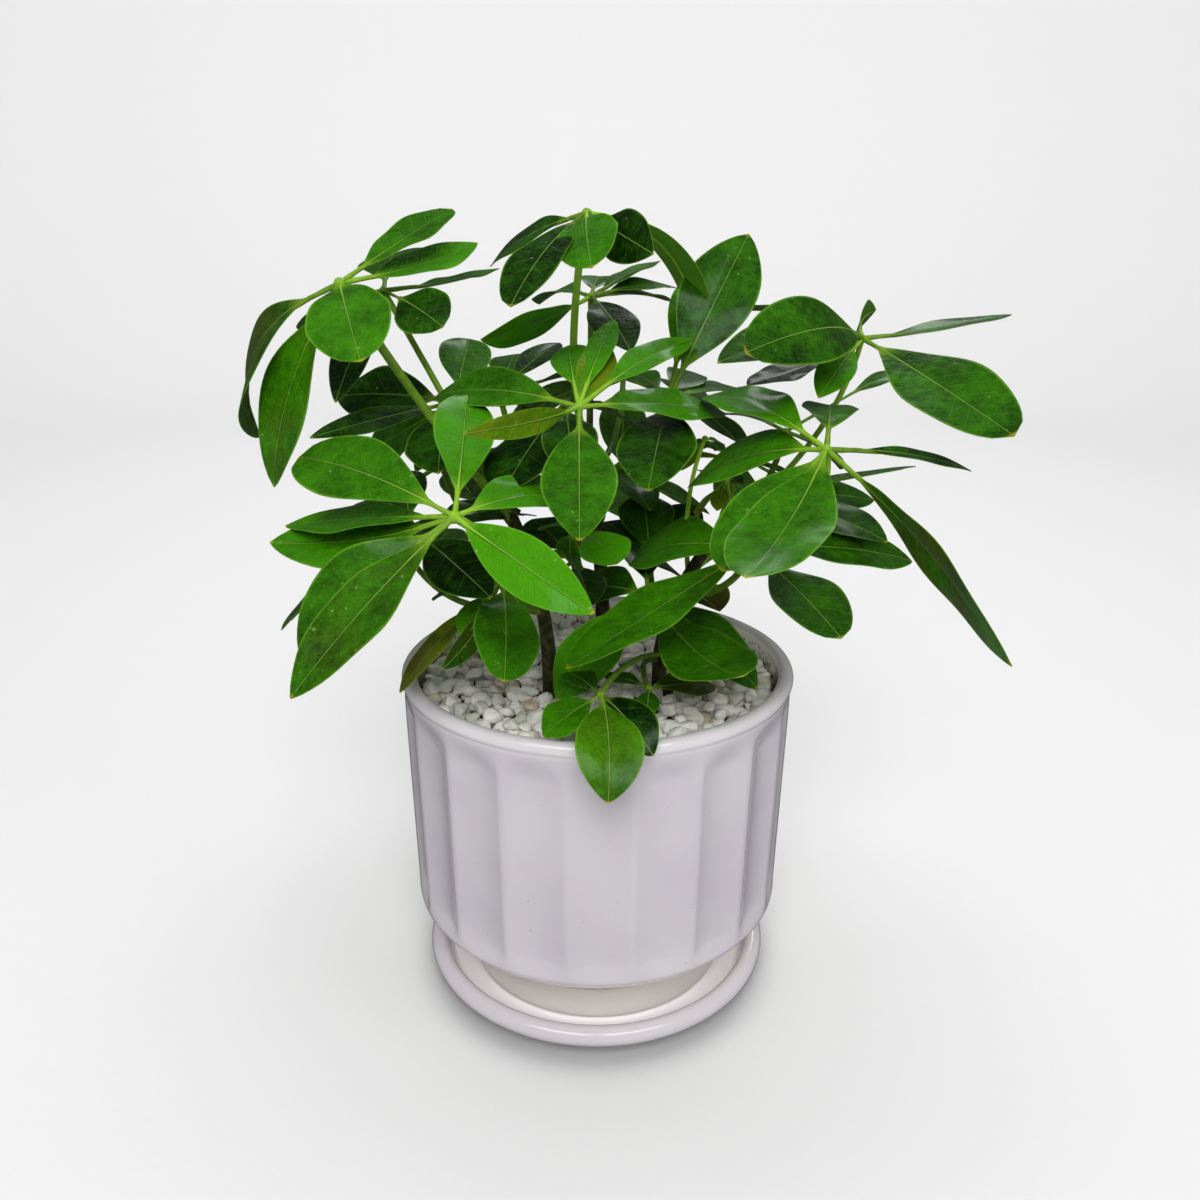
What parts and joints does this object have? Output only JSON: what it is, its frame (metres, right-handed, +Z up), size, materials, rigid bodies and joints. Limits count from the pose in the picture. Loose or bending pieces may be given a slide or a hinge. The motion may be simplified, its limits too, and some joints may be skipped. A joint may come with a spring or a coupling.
{
  "type": "potted umbrella plant",
  "caption": "Small umbrella plant with palmate leaf whorls on thin stems, in a fluted glazed pot topped with pebbles, standing on a round saucer.",
  "frame": {"origin": "middle of the saucer's flat underside", "axes": "+Z up along the pot's axis, -Y towards the front, +X to the right seen from the front"},
  "size_m": [0.2643, 0.2622, 0.2763],
  "materials": {
    "glaze": "gloss",
    "soil": "matte",
    "pebbles": "satin",
    "leaves": "waxy"
  },
  "bodies": {
    "root": {"saucer": "glaze", "pot": "glaze", "soil": "soil", "gravel": "pebbles", "stem_left": "leaves", "stem_centre": "leaves", "stem_right": "leaves"}
  },
  "joints": []
}
